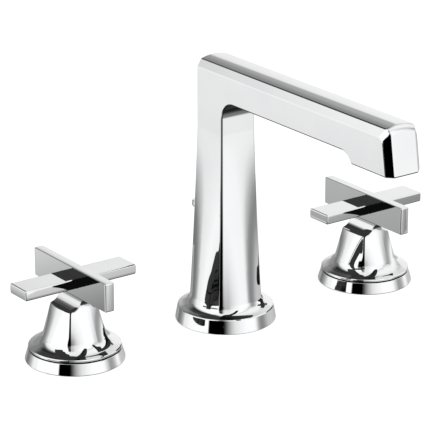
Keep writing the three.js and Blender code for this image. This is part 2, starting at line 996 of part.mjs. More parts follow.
// Socket screw in the back of the bell, its point against the stem.
function setScrewSolid() {
  const head = stemBore + setScrew.length;
  const socket = screwCylinder(
    setScrew.socketHalf,
    head - setScrew.socketDepth,
    head + fit.overrun,
    facets.hexagon,
  );
  return screwCylinder(setScrew.radius, stemBore, head, facets.small).subtract(socket);
}

// Rectangle whose two short ends bow out.
function crownedOutline(halfLong, halfShort) {
  const bow = bars.crown;
  const radius = (halfShort ** 2 + bow ** 2) / (2 * bow);
  const angle = Math.asin(halfShort / radius);
  const outline = new THREE.Shape();
  outline.absarc(halfLong - radius, 0, radius, -angle, angle, false);
  outline.absarc(-(halfLong - radius), 0, radius, Math.PI - angle, Math.PI + angle, false);
  return outline;
}

// A bar along X, lying flat: crowned sides and crowned ends.
function barSolid() {
  const halfLength = bars.length / 2;
  const halfThickness = bars.thickness / 2;
  const halfWidth = bars.width / 2;
  const section = prismAlongX(
    crownedOutline(halfWidth, halfThickness),
    -halfLength - fit.overrun,
    halfLength + fit.overrun,
  );
  const profile = prismAlongY(
    crownedOutline(halfLength, halfThickness),
    -halfWidth - fit.overrun,
    halfWidth + fit.overrun,
  );
  return solidOf(section).intersect(solidOf(profile));
}

function flatBar() {
  return barSolid().translate([0, 0, barCentre]);
}

// The same bar stood on edge along Y, with a window for the flat one.
function blade() {
  const upright = barSolid().rotate([90, 0, 0]).rotate([0, 0, 90]);
  const geometry = new THREE.BoxGeometry(
    bars.thickness + 2 * fit.overrun,
    bars.width + 2 * fit.gap,
    bars.thickness + 2 * fit.gap,
  );
  return upright.subtract(solidOf(geometry)).translate([0, 0, barCentre]);
}

// Assembly

const faucet = new THREE.Group();
faucet.add(piece("spout_body", spoutBody(), polishedChrome));
faucet.add(piece("spout_gasket", spoutGasket(), rubber));
faucet.add(piece("inlet_shank", inletShank(), brass));
faucet.add(piece("waterway_tube", waterwayTube(), copper));
faucet.add(piece("aerator_housing", aeratorHousing(), polishedChrome));
faucet.add(piece("aerator_insert", aeratorInsert(), nylon));
faucet.add(piece("aerator_seal", aeratorSeal(), rubber));
faucet.add(piece("lift_rod", liftRodShaft(), polishedChrome));
faucet.add(piece("lift_rod_knob", liftRodKnob(), polishedChrome));

for (const [side, direction] of [
  ["hot", -1],
  ["cold", 1],
]) {
  const group = new THREE.Group();
  group.position.x = direction * deck.handleOffset;
  group.add(piece(`${side}_base_ring`, baseRing(), polishedChrome));
  group.add(piece(`${side}_base_gasket`, baseGasket(), rubber));
  group.add(piece(`${side}_valve_body`, valveBody(), brass));
  group.add(piece(`${side}_seat_seal`, seatSeal(), rubber));
  group.add(piece(`${side}_fixed_disc`, discWithPorts(fixedDiscBottom), ceramic));
  group.add(piece(`${side}_turning_disc`, turningDisc(), ceramic));
  group.add(piece(`${side}_cartridge`, cartridge(), brass));
  group.add(piece(`${side}_stem`, stemSolid(), brass));
  group.add(piece(`${side}_stem_seal`, stemSeal(), rubber));
  group.add(piece(`${side}_bonnet_nut`, bonnetNut(), brass));
  group.add(piece(`${side}_glide_ring`, glideRing(), nylon));
  group.add(piece(`${side}_bell`, bellSolid(), polishedChrome));
  group.add(piece(`${side}_blade`, blade(), polishedChrome));
  group.add(piece(`${side}_flat_bar`, flatBar(), polishedChrome));
  group.add(piece(`${side}_set_screw`, setScrewSolid(), steel));
  faucet.add(group);
}

export default faucet;
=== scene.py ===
import json
import math

import bmesh
import bpy
from mathutils import Matrix, Vector


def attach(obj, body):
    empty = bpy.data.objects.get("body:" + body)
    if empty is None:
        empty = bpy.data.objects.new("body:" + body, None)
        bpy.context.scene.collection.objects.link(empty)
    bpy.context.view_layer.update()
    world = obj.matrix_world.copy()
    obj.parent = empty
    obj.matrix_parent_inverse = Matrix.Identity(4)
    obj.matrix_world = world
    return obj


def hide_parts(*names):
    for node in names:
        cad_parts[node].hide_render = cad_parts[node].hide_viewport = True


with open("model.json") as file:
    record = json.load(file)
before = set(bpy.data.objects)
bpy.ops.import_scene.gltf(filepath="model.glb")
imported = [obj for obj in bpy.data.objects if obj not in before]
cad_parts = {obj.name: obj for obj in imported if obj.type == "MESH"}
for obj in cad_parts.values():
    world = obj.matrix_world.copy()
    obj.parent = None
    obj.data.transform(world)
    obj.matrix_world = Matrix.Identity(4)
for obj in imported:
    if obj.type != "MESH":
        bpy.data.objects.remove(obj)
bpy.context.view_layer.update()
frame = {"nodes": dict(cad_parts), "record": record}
print("frame loaded with", len(frame["nodes"]), "nodes")

# All pieces are shaped in millimetres and set down in metres.
millimetre = 0.001


# Cage: points, faces and the edges that get a small rounding

class Cage:
    def __init__(self):
        self.points = []
        self.places = {}
        self.faces = []
        self.rounded = {}

    def at(self, x, y, z):
        key = (round(x, 4), round(y, 4), round(z, 4))
        if key not in self.places:
            self.places[key] = len(self.points)
            self.points.append((x, y, z))
        return self.places[key]

    def line(self, places):
        return [self.at(*place) for place in places]

    def face(self, loop):
        kept = [point for turn, point in enumerate(loop) if point != loop[turn - 1]]
        if len(set(kept)) > 2:
            self.faces.append(kept)

    def strip(self, lower, upper, closed=False):
        count = len(lower)
        for turn in range(count if closed else count - 1):
            after = (turn + 1) % count
            self.face([lower[turn], lower[after], upper[after], upper[turn]])

    def skin(self, rings, closed=True):
        for lower, upper in zip(rings, rings[1:]):
            self.strip(lower, upper, closed)

    def soften(self, line, share=1.0):
        for start, end in zip(line, line[1:]):
            self.rounded[frozenset((start, end))] = share

    def build(self, name):
        mesh = bpy.data.meshes.new(name)
        mesh.from_pydata(self.points, [], self.faces)
        weights = mesh.attributes.new("bevel_weight_edge", "FLOAT", "EDGE")
        for edge in mesh.edges:
            weights.data[edge.index].value = self.rounded.get(frozenset(edge.vertices), 0.0)
        work = bmesh.new()
        work.from_mesh(mesh)
        bmesh.ops.recalc_face_normals(work, faces=work.faces)
        work.to_mesh(mesh)
        work.free()
        piece = bpy.data.objects.new(name, mesh)
        bpy.context.scene.collection.objects.link(piece)
        return piece


def applyModifiers(piece):
    shown = piece.evaluated_get(bpy.context.evaluated_depsgraph_get())
    mesh = bpy.data.meshes.new_from_object(shown)
    piece.modifiers.clear()
    old = piece.data
    piece.data = mesh
    bpy.data.meshes.remove(old)


# A profile near 0.25 leaves a flat band between two small roundings, 0.5 is round.
def roundEdges(piece, width, steps=8, profile=0.35):
    bevel = piece.modifiers.new("edges", "BEVEL")
    bevel.limit_method = "WEIGHT"
    bevel.width = width
    bevel.segments = steps
    bevel.profile = profile
    bevel.use_clamp_overlap = False
    applyModifiers(piece)


def cutAway(piece, tool):
    cut = piece.modifiers.new("cut", "BOOLEAN")
    cut.operation = "DIFFERENCE"
    cut.solver = "EXACT"
    cut.object = tool
    applyModifiers(piece)
    bpy.data.objects.remove(tool)


# Smooth shading in which large flat faces keep their own direction.
def settle(piece, body, nodes, material, centre=0, sharpFrom=38):
    piece.data.shade_smooth()
    piece.data.set_sharp_from_angle(angle=math.radians(sharpFrom))
    even = piece.modifiers.new("even", "WEIGHTED_NORMAL")
    even.keep_sharp = True
    even.weight = 60
    applyModifiers(piece)
    piece.data.transform(Matrix.Scale(millimetre, 4) @ Matrix.Translation((centre, 0, 0)))
    piece.data.materials.clear()
    piece.data.materials.append(material)
    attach(piece, body)
    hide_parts(*nodes)


def roundCorners(outline, steps=4):
    line = []
    for turn, (across, up, radius) in enumerate(outline):
        here = Vector((across, up))
        if radius == 0:
            line.append((across, up))
            continue
        before = (Vector(outline[turn - 1][:2]) - here).normalized()
        after = (Vector(outline[(turn + 1) % len(outline)][:2]) - here).normalized()
        half = before.angle(after) / 2
        middle = here + (before + after).normalized() * (radius / math.sin(half))
        start = (here + before * (radius / math.tan(half)) - middle).normalized()
        end = (here + after * (radius / math.tan(half)) - middle).normalized()
        for step in range(steps + 1):
            line.append(tuple(middle + start.slerp(end, step / steps) * radius))
    return line


# A hollow from start to end that runs on smoothly from the lines before and after it.
def hollowCurve(before, start, end, after, steps):
    inX, inZ = start[0] - before[0], start[1] - before[1]
    outX, outZ = after[0] - end[0], after[1] - end[1]
    gapX, gapZ = end[0] - start[0], end[1] - start[1]
    along = (gapX * outZ - gapZ * outX) / (inX * outZ - inZ * outX)
    corner = (start[0] + inX * along, start[1] + inZ * along)
    line = []
    for step in range(steps + 1):
        share = step / steps
        line.append(tuple(
            mix(mix(start[k], corner[k], share), mix(corner[k], end[k], share), share)
            for k in (0, 1)
        ))
    return line


def turnedCage(profile, steps, back=0):
    cage = Cage()
    rings = []
    for radius, height in profile:
        ring = []
        for step in range(steps):
            angle = 2 * math.pi * step / steps
            ring.append(cage.at(radius * math.cos(angle), back + radius * math.sin(angle), height))
        rings.append(ring)
    cage.skin(rings + rings[:1])
    return cage


# One ring of a post or bell: four corners, and sides that are flat at roundness 0 and
# part of one circle at roundness 1, given for the flanks and for the front and back.
# Steps run from -1 to 1 along a side, its end left out.
def squaredRing(reach, height, roundness, cornerAngle, stepsX, stepsY):
    cornerX = reach * math.cos(cornerAngle)
    cornerY = reach * math.sin(cornerAngle)
    ring = []
    for side in range(4):
        turn = side * math.pi / 2
        distance, half = (cornerX, cornerY) if side % 2 == 0 else (cornerY, cornerX)
        for step in (stepsX if side % 2 == 0 else stepsY):
            along = half * step
            out = distance + sideBulge(reach, roundness[side % 2], distance, half, along)
            ring.append((
                out * math.cos(turn) - along * math.sin(turn),
                out * math.sin(turn) + along * math.cos(turn),
                height,
            ))
    return ring


def sideBulge(reach, roundness, distance, half, along):
    swell = roundness * (reach - distance)
    if swell < 1e-6:
        return 0.0
    radius = (half ** 2 + swell ** 2) / (2 * swell)
    return swell - along ** 2 / (radius + math.sqrt(radius ** 2 - along ** 2))


def mix(start, end, share):
    return start + (end - start) * share


def rectangle(x, y, z):
    return [(-x, -y, z), (x, -y, z), (x, y, z), (-x, y, z)]


# Material and world nodes
class NodeBench:
    def __init__(self, tree):
        self.tree = tree

    def add(self, kind, **settings):
        node = self.tree.nodes.new(kind)
        for name, value in settings.items():
            setattr(node, name, value)
        return node

    def link(self, source, target):
        self.tree.links.new(source, target)

    def math(self, operation, first, second=None):
        node = self.add("ShaderNodeMath", operation=operation)
        for socket, value in zip(node.inputs, (first, second)):
            if isinstance(value, (int, float)):
                socket.default_value = value
            elif value is not None:
                self.link(value, socket)
        return node.outputs[0]

    def between(self, value, start, end, smooth=True):
        node = self.add("ShaderNodeMapRange")
        node.interpolation_type = "SMOOTHSTEP" if smooth else "LINEAR"
        self.link(value, node.inputs["Value"])
        node.inputs["From Min"].default_value = start
        node.inputs["From Max"].default_value = end
        return node.outputs["Result"]

    def spread(self, value, start, end, low, high):
        output = self.between(value, start, end)
        node = output.node
        node.inputs["To Min"].default_value = low
        node.inputs["To Max"].default_value = high
        return output

    def cloud(self, place, size, detail=3.0, stretch=(1, 1, 1)):
        mapping = self.add("ShaderNodeMapping")
        mapping.inputs["Scale"].default_value = stretch
        self.link(place, mapping.inputs["Vector"])
        node = self.add("ShaderNodeTexNoise")
        node.inputs["Scale"].default_value = 1 / (size * millimetre)
        node.inputs["Detail"].default_value = detail
        self.link(mapping.outputs[0], node.inputs["Vector"])
        return node.outputs["Fac"]

    def grooves(self, place, spacing):
        node = self.add("ShaderNodeTexWave", bands_direction="Z")
        node.inputs["Scale"].default_value = math.pi / 10 / (spacing * millimetre)
        node.inputs["Distortion"].default_value = 0.6
        node.inputs["Detail"].default_value = 2.0
        self.link(place, node.inputs["Vector"])
        return node.outputs["Fac"]

    def relief(self, height):
        node = self.add("ShaderNodeBump")
        node.inputs["Distance"].default_value = millimetre
        self.link(height, node.inputs["Height"])
        return node.outputs["Normal"]

    def mixed(self, share, first, second):
        node = self.add("ShaderNodeMix", data_type="RGBA")
        for place, value in ((0, share), (6, first), (7, second)):
            if isinstance(value, (int, float)):
                node.inputs[place].default_value = value
            elif isinstance(value, tuple):
                node.inputs[place].default_value = (*value, 1)
            else:
                self.link(value, node.inputs[place])
        return node.outputs[2]

    def ramp(self, value, stops):
        node = self.add("ShaderNodeValToRGB")
        self.link(value, node.inputs["Fac"])
        points = node.color_ramp.elements
        while len(points) < len(stops):
            points.new(1.0)
        for point, (place, colour) in zip(points, stops):
            point.position = place
            point.color = (*colour, 1)
        return node.outputs["Color"]


# Finishes: colours between light and dark in patches, roughness between smooth and
# rough, and a relief of fine grain, with turned grooves where a part comes off a lathe.
# Sizes and depths are in millimetres.
finishes = {
    "polished_chrome": {
        "metallic": 1.0, "light": (0.945, 0.948, 0.955), "dark": (0.915, 0.92, 0.93),
        "patch": 22.0, "smooth": 0.018, "rough": 0.045, "grain": 1.6, "depth": 0.0004,
    },
    "brass": {
        "metallic": 1.0, "light": (0.86, 0.68, 0.36), "dark": (0.70, 0.50, 0.22),
        "patch": 5.0, "smooth": 0.20, "rough": 0.38, "grain": 0.5, "depth": 0.006,
        "groove": 0.45, "grooveDepth": 0.012,
    },
    "copper": {
        "metallic": 1.0, "light": (0.91, 0.56, 0.41), "dark": (0.62, 0.31, 0.20),
        "patch": 7.0, "smooth": 0.18, "rough": 0.42, "grain": 0.8, "depth": 0.008,
    },
    "black_rubber": {
        "metallic": 0.0, "light": (0.035, 0.035, 0.037), "dark": (0.016, 0.016, 0.017),
        "patch": 3.0, "smooth": 0.50, "rough": 0.72, "grain": 0.25, "depth": 0.015,
    },
    "white_nylon": {
        "metallic": 0.0, "light": (0.80, 0.79, 0.75), "dark": (0.70, 0.69, 0.65),
        "patch": 4.0, "smooth": 0.34, "rough": 0.50, "grain": 0.3, "depth": 0.006,
    },
    "white_ceramic": {
        "metallic": 0.0, "light": (0.88, 0.87, 0.84), "dark": (0.80, 0.79, 0.755),
        "patch": 2.0, "smooth": 0.05, "rough": 0.14, "grain": 0.2, "depth": 0.001,
    },
    "steel": {
        "metallic": 1.0, "light": (0.66, 0.67, 0.69), "dark": (0.50, 0.51, 0.53),
        "patch": 1.5, "smooth": 0.22, "rough": 0.40, "grain": 0.3, "depth": 0.004,
        "groove": 0.3, "grooveDepth": 0.01,
    },
}


# How patches and wiped streaks lie in the noise, the same for every finish.
wear = {
    "patchRange": (0.32, 0.68), "wipeShare": 1 / 3, "wipeDetail": 5.0,
    "wipeStretch": (1, 1, 0.35), "wipeRange": (0.3, 0.7), "grainDetail": 2.0,
}


def makeFinish(name, values):
    finish = bpy.data.materials.new(name)
    finish.use_nodes = True
    bench = NodeBench(finish.node_tree)
    shader = finish.node_tree.nodes["Principled BSDF"]
    shader.inputs["Metallic"].default_value = values["metallic"]
    place = bench.add("ShaderNodeTexCoord").outputs["Object"]
    patches = bench.cloud(place, values["patch"])
    stops = zip(wear["patchRange"], (values["dark"], values["light"]))
    bench.link(bench.ramp(patches, list(stops)), shader.inputs["Base Color"])
    wipeSize = values["patch"] * wear["wipeShare"]
    wiped = bench.cloud(place, wipeSize, wear["wipeDetail"], wear["wipeStretch"])
    roughness = bench.spread(wiped, *wear["wipeRange"], values["smooth"], values["rough"])
    bench.link(roughness, shader.inputs["Roughness"])
    grain = bench.cloud(place, values["grain"], wear["grainDetail"])
    height = bench.math("MULTIPLY", grain, values["depth"])
    if "groove" in values:
        grooves = bench.grooves(place, values["groove"])
        turned = bench.math("MULTIPLY", grooves, values["grooveDepth"])
        height = bench.math("ADD", height, turned)
    bench.link(bench.relief(height), shader.inputs["Normal"])
    return finish


for name, values in finishes.items():
    values["made"] = makeFinish(name, values)
chrome = finishes["polished_chrome"]["made"]
print("finishes made")

for row in frame["record"]["subparts"]:
    finish = finishes[row["material_slot"]]["made"]
    for part in frame["nodes"][row["node"]].material_slots:
        part.material = finish
print("inner parts finished")


# Spout: square arm and nose, post and round foot in one casting

spoutShape = {
    "halfWidth": 11.45, "halfDepth": 11.85,
    "underside": 131.8, "sideTop": 146.7, "chamferTop": 150.97, "crownTop": 152.42,
    "chamferInset": 2.65, "crownSteps": 16, "chamferSteps": 3,
    "reach": 154.5, "noseUnderside": 126.3, "noseLength": 31.7, "stepRun": 7.7,
    "noseChamfer": 3.6, "noseLean": 9.1, "crownBend": 4.0, "sideBend": 3.5, "bendSteps": 12,
    "innerFillet": 10.0, "filletSteps": 12,
    "squareFrom": 113.0, "ridgeHeight": 14.6, "postSteps": 64, "sideSteps": 16,
    "ridgeRadius": 20.4, "ridgeRoundness": (0.80, 0.92), "swellPower": 1.2, "roundingPower": 1.5,
    "footCorner": 46.8, "rimRadius": 28.56, "rimTopRadius": 27.2, "rimHeight": 7.7,
    "rimBevel": 0.45, "rimRounding": 0.3, "bevelRounding": 0.4,
    "slopeEnd": (25.6, 8.45), "footSteps": 20,
    "edge": 1.1, "crownEdge": 0.4, "bottomEdge": 0.9,
    "postBore": 8.4, "armBore": 7.31, "outletBore": 8.9, "passageHeight": 142.11,
    "passageRoof": 4, "passageEnd": 6, "outletPlace": -138.5,
    "recessRadius": 26.36, "recessDepth": 1.7, "below": 3,
    "rodPlace": 24.0, "rodBore": 1.8, "rodBoreTop": 18,
}


def postRings(shape, steps):
    rings = []
    topReach = math.hypot(shape["halfWidth"], shape["halfDepth"])
    topCorner = math.atan2(shape["halfDepth"], shape["halfWidth"])
    footCorner = math.radians(shape["footCorner"])
    profile = roundCorners([
        (0, 0, 0),
        (shape["rimRadius"], 0, shape["rimRounding"]),
        (shape["rimTopRadius"], shape["rimHeight"], shape["rimRounding"]),
        (
            shape["rimTopRadius"] - shape["rimBevel"],
            shape["rimHeight"] + shape["rimBevel"], shape["bevelRounding"],
        ),
        (*shape["slopeEnd"], 0),
    ])[1:-1]
    for radius, height in profile:
        rings.append(squaredRing(radius, height, (1, 1), footCorner, steps, steps))
    span = shape["squareFrom"] - shape["ridgeHeight"]
    narrowing = (shape["ridgeRadius"] - topReach) * shape["swellPower"] / span
    arc = hollowCurve(
        profile[-1], shape["slopeEnd"],
        (shape["ridgeRadius"], shape["ridgeHeight"]),
        (shape["ridgeRadius"] - narrowing, shape["ridgeHeight"] + 1), shape["footSteps"],
    )
    for radius, height in arc:
        rise = (height - arc[0][1]) / (arc[-1][1] - arc[0][1])
        roundness = [mix(1, full, rise ** 0.5) for full in shape["ridgeRoundness"]]
        rings.append(squaredRing(radius, height, roundness, footCorner, steps, steps))
    for step in range(1, shape["postSteps"] + 1):
        down = 1 - step / shape["postSteps"]
        rings.append(squaredRing(
            mix(topReach, shape["ridgeRadius"], down ** shape["swellPower"]),
            shape["squareFrom"] - span * down,
            [full * down ** shape["roundingPower"] for full in shape["ridgeRoundness"]],
            mix(topCorner, footCorner, down),
            steps, steps,
        ))
    return rings, len(profile) + 1


# Each column runs along the arm's top, round the nose and down its front.
def armColumns(shape):
    columns = []
    topHalf = shape["halfWidth"] - shape["chamferInset"]
    frontHalf = shape["halfWidth"] - shape["noseChamfer"]
    crownRise = shape["crownTop"] - shape["chamferTop"]
    crownRadius = (topHalf ** 2 + crownRise ** 2) / (2 * crownRise)
    for step in range(shape["chamferSteps"]):
        share = step / shape["chamferSteps"]
        columns.append((
            mix(shape["halfWidth"], topHalf, share),
            mix(shape["sideTop"], shape["chamferTop"], share),
            mix(shape["halfWidth"], frontHalf, share),
            mix(shape["noseChamfer"], 0, share),
            mix(shape["sideBend"], shape["crownBend"], share),
        ))
    for step in range(shape["crownSteps"] // 2 + 1):
        x = topHalf * (1 - 2 * step / shape["crownSteps"])
        height = shape["crownTop"] - crownRadius + math.sqrt(crownRadius ** 2 - x ** 2)
        columns.append((x, height, x * frontHalf / topHalf, 0, shape["crownBend"]))
    mirrored = [(-x, z, -frontX, depth, bend) for x, z, frontX, depth, bend in columns[-2::-1]]
    return columns + mirrored


def armColumnLine(shape, column):
    x, z, frontX, depth, bend = column
    lean = math.radians(shape["noseLean"])
    turn = math.pi / 2 - lean
    cornerY = -shape["reach"] + depth + (z - shape["noseUnderside"]) * math.tan(lean)
    middleY = cornerY + bend * math.tan(turn / 2)
    line = [(x, shape["halfDepth"], z)]
    for step in range(shape["bendSteps"] + 1):
        share = step / shape["bendSteps"]
        angle = math.pi / 2 + turn * share
        line.append((
            mix(x, frontX, share * share * (3 - 2 * share)),
            middleY + bend * math.cos(angle),
            z - bend + bend * math.sin(angle),
        ))
    line.append((frontX, -shape["reach"] + depth, shape["noseUnderside"]))
    return line


# From the nose's underside up the step, along the arm and down the post's front.
def undersideLine(shape):
    front = -shape["reach"] + shape["noseLength"]
    rise = shape["underside"] - shape["noseUnderside"]
    radius = (shape["stepRun"] ** 2 + rise ** 2) / (2 * rise)
    spread = math.asin(shape["stepRun"] / radius)
    line = []
    for step in range(shape["filletSteps"] + 1):
        angle = math.pi / 2 + spread * (1 - step / shape["filletSteps"])
        line.append((
            front + shape["stepRun"] + radius * math.cos(angle),
            shape["underside"] - radius + radius * math.sin(angle),
        ))
    inner = shape["innerFillet"]
    for step in range(shape["filletSteps"] + 1):
        angle = math.pi / 2 * (1 - step / shape["filletSteps"])
        line.append((
            -shape["halfDepth"] - inner + inner * math.cos(angle),
            shape["underside"] - inner + inner * math.sin(angle),
        ))
    return line


def spoutCage(shape):
    cage = Cage()
    count = shape["sideSteps"]
    steps = [2 * step / count - 1 for step in range(count)]
    places, footRings = postRings(shape, steps)
    rings = [cage.line(ring) for ring in places]
    cage.skin(rings)
    cage.face(rings[0])
    top = rings[-1]
    rightSide = top[0:count + 1]
    back = top[count:2 * count + 1]
    leftSide = top[2 * count:3 * count + 1]
    front = top[3 * count:] + top[:1]
    blanket = [cage.line(armColumnLine(shape, column)) for column in armColumns(shape)]
    for one, other in zip(blanket, blanket[1:]):
        cage.strip(one, other)
    half = shape["halfWidth"]
    under = undersideLine(shape)
    rightUnder = cage.line([(half, y, z) for y, z in under])
    leftUnder = cage.line([(-half, y, z) for y, z in under])
    cage.strip(rightUnder, leftUnder)
    cage.face(rightUnder[-1:] + leftUnder[-1:] + front)
    noseBottom = [column[-1] for column in blanket]
    cage.face(noseBottom + leftUnder[:1] + rightUnder[:1])
    backRim = [column[0] for column in blanket]
    cage.face(back + backRim[::-1])
    cage.face(rightSide + blanket[0] + rightUnder)
    cage.face(leftSide[::-1] + blanket[-1] + leftUnder)

    chamfer = shape["chamferSteps"]
    for column in (blanket[0], blanket[chamfer], blanket[-1 - chamfer], blanket[-1]):
        cage.soften(column, shape["crownEdge"])
    cage.soften(backRim)
    cage.soften(leftUnder[:1] + noseBottom[::-1] + rightUnder[:1], shape["bottomEdge"])
    cage.soften(leftUnder[:1] + rightUnder[:1], shape["bottomEdge"])
    cage.soften(rightUnder + front[-1:])
    cage.soften(leftUnder + front[:1])
    cage.soften([backRim[0], back[0]])
    cage.soften([backRim[-1], back[-1]])
    for corner in range(4):
        cage.soften([ring[corner * count] for ring in rings[footRings:]])
    return cage


def barrel(radius, start, end, steps=64):
    axis = (Vector(end) - Vector(start)).normalized()
    turn = axis.to_track_quat("Z", "Y")
    cage = Cage()
    rings = []
    for place in (start, end):
        ring = []
        for step in range(steps):
            angle = 2 * math.pi * step / steps
            spoke = turn @ Vector((radius * math.cos(angle), radius * math.sin(angle), 0))
            ring.append(cage.at(*(Vector(place) + spoke)))
        rings.append(ring)
    cage.skin(rings)
    cage.face(rings[0])
    cage.face(rings[1])
    return cage.build("tool")


def makeSpout(shape):
    spout = spoutCage(shape).build("spout")
    roundEdges(spout, shape["edge"])
    passage, outlet, rod = shape["passageHeight"], shape["outletPlace"], shape["rodPlace"]
    below = -shape["below"]
    mouth = shape["noseUnderside"] + below
    postTop, armEnd = passage + shape["passageRoof"], outlet - shape["passageEnd"]
    cutAway(spout, barrel(shape["postBore"], (0, 0, below), (0, 0, postTop)))
    cutAway(spout, barrel(shape["armBore"], (0, 0, passage), (0, armEnd, passage)))
    cutAway(spout, barrel(shape["outletBore"], (0, outlet, mouth), (0, outlet, passage)))
    cutAway(spout, barrel(shape["recessRadius"], (0, 0, below), (0, 0, shape["recessDepth"]), 96))
    cutAway(spout, barrel(shape["rodBore"], (0, rod, below), (0, rod, shape["rodBoreTop"]), 32))
    settle(spout, "root", ["spout_body"], chrome)


makeSpout(spoutShape)
print("spout made")


# Lift rod and its knob

rodShape = {
    "radius": 1.5, "bottom": 0.4, "seat": 2.2, "knobRadius": 4.8, "knobHeight": 3.8,
    "knobTop": 63.5, "knobEdge": 0.6, "dome": 0.25, "place": 24.0, "steps": 64,
    "play": 0.3, "footRounding": 0.3, "mouthRounding": 0.15,
}


def makeRod(shape):
    knobBottom = shape["knobTop"] - shape["knobHeight"]
    top = knobBottom + shape["seat"]
    boreTop, bore = top + shape["play"], shape["radius"] + shape["play"]
    rod = turnedCage(roundCorners([
        (0, shape["bottom"], 0),
        (shape["radius"], shape["bottom"], shape["footRounding"]),
        (shape["radius"], top, 0),
        (0, top, 0),
    ]), shape["steps"], shape["place"]).build("rod")
    settle(rod, "waste_rod", ["lift_rod"], chrome)
    outline = roundCorners([
        (0, boreTop, 0),
        (bore, boreTop, 0),
        (bore, knobBottom, shape["mouthRounding"]),
        (shape["knobRadius"], knobBottom, shape["knobEdge"]),
        (shape["knobRadius"], shape["knobTop"] - shape["dome"], shape["knobEdge"]),
        (0, shape["knobTop"], 0),
    ], 6)
    knob = turnedCage(outline, shape["steps"], shape["place"]).build("knob")
    settle(knob, "waste_rod", ["lift_rod_knob"], chrome)


makeRod(rodShape)
print("lift rod and knob made")


# Base ring that stays on the deck under each handle

baseShape = {
    "bore": 20.0, "radius": 27.53, "topRadius": 25.64, "height": 6.5, "edge": 0.45,
    "boreEdge": 0.2, "ledgeRadius": 17.6, "ledgeTop": 5.5, "ledgeBottom": 4.6, "steps": 128,
}


def makeBase(side, centre, shape):
    outline = roundCorners([
        (shape["bore"], 0, 0),
        (shape["radius"], 0, shape["edge"]),
        (shape["topRadius"], shape["height"], shape["edge"]),
        (shape["bore"], shape["height"], shape["boreEdge"]),
        (shape["bore"], shape["ledgeTop"], 0),
        (shape["ledgeRadius"], shape["ledgeTop"], 0),
        (shape["ledgeRadius"], shape["ledgeBottom"], 0),
        (shape["bore"], shape["ledgeBottom"], 0),
    ])
    base = turnedCage(outline, shape["steps"]).build(side + "Base")
    settle(base, "root", [side + "_base_ring"], chrome, centre)


# Bell: round skirt, hollow fillet, four soft ridges and two scoops under the blade

bellShape = {
    "skirtRadius": 25.5, "skirtBottom": 7.05, "skirtTop": 8.1, "skirtBevel": 0.4,
    "skirtRounding": 0.25, "bevelRounding": 0.3, "ridgesFrom": 11,
    "filletStart": (23.8, 9.0), "filletEnd": (17.5, 15.2), "filletSteps": 14,
    "shoulder": 31.0, "shoulderRadius": 13.6, "shoulderRoundness": 0.3, "ridgeRoundness": 0.88,
    "roundingPower": 1.1, "corner": 48.6, "flankSteps": 24, "sideSteps": 24,
    "scoopRadius": 5.8, "scoopSteps": 12, "wallRows": 4, "ribHalf": 2.85, "ribTop": 37.78,
    "neckRadius": 13.0, "flare": 3.8, "ribSteps": 8, "edge": 0.8, "rimEdge": 0.4,
    "rebateRadius": 20.3, "rebateTop": 7.7, "cavityRadius": 12.59, "nutTop": 18.0,
    "neckRoof": 23.4, "headroom": 3.0, "neckRadiusInside": 5.9, "cavityFrom": 3,
    "stemBore": 4.3, "stemTop": 29.7, "screwHeight": 27.4, "screwBore": 2.3, "screwReach": 30,
}


def bellRoundness(shape, height):
    foot, ridgeEnd = shape["filletStart"][1], shape["filletEnd"][1]
    if height < ridgeEnd:
        rise = max((height - foot) / (ridgeEnd - foot), 0)
        return mix(1, shape["ridgeRoundness"], rise ** 0.5)
    below = max((shape["shoulder"] - height) / (shape["shoulder"] - ridgeEnd), 0)
    share = below ** shape["roundingPower"]
    return mix(shape["shoulderRoundness"], shape["ridgeRoundness"], share)


def ribReach(shape, height):
    flareStart = shape["ribTop"] - shape["flare"]
    if height <= flareStart:
        share = (height - shape["shoulder"]) / (flareStart - shape["shoulder"])
        return mix(shape["shoulderRadius"], shape["neckRadius"], share)
    rise = min((height - flareStart) / shape["flare"], 1)
    return shape["neckRadius"] + shape["flare"] * (1 - math.sqrt(1 - rise * rise))


# How far the rib's end reaches along Y at x, at this height.
def ribEnd(shape, x, height):
    reach = ribReach(shape, height)
    corner = math.radians(shape["corner"])
    distance = reach * math.sin(corner)
    half = reach * math.cos(corner)
    return distance + sideBulge(reach, shape["shoulderRoundness"], distance, half, x)


